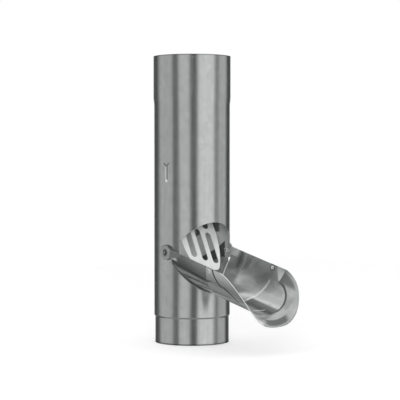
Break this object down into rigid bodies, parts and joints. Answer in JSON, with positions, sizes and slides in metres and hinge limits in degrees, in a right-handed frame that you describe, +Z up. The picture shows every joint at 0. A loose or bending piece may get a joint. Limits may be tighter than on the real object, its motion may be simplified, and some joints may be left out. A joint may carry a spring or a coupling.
{
  "type": "downpipe leaf trap",
  "caption": "Zinc-coated steel leaf trap for a round downpipe, with a slotted sieve behind a side opening and a hinged half-round chute swung open.",
  "frame": {"origin": "on the pipe's own axis, at the bottom rim, which is the spigot mount's point", "axes": "+Z up along the pipe, -Y forwards where the chute points, +X across along the hinge; the left and right sides mirror each other"},
  "size_m": [0.1054, 0.2275, 0.376],
  "materials": {
    "pipe_steel": "satin",
    "chute_steel": "satin",
    "spout_steel": "satin",
    "sieve_steel": "satin",
    "rivet_metal": "satin"
  },
  "bodies": {
    "pipe": {"pipe_body": "pipe_steel", "sieve": "sieve_steel", "sieve_rivets": "rivet_metal", "pivot_rivets": "rivet_metal", "pivot_washers": "rivet_metal"},
    "chute": {"chute_body": "chute_steel", "chute_spout": "spout_steel", "spout_rivets": "rivet_metal"}
  },
  "joints": [
    {"name": "chute_hinge", "type": "hinge", "parent": "pipe", "child": "chute", "pos_m": [0, -0.0118, 0.1199], "axis": [-1, 0, 0], "range_deg": [0, 102]}
  ]
}
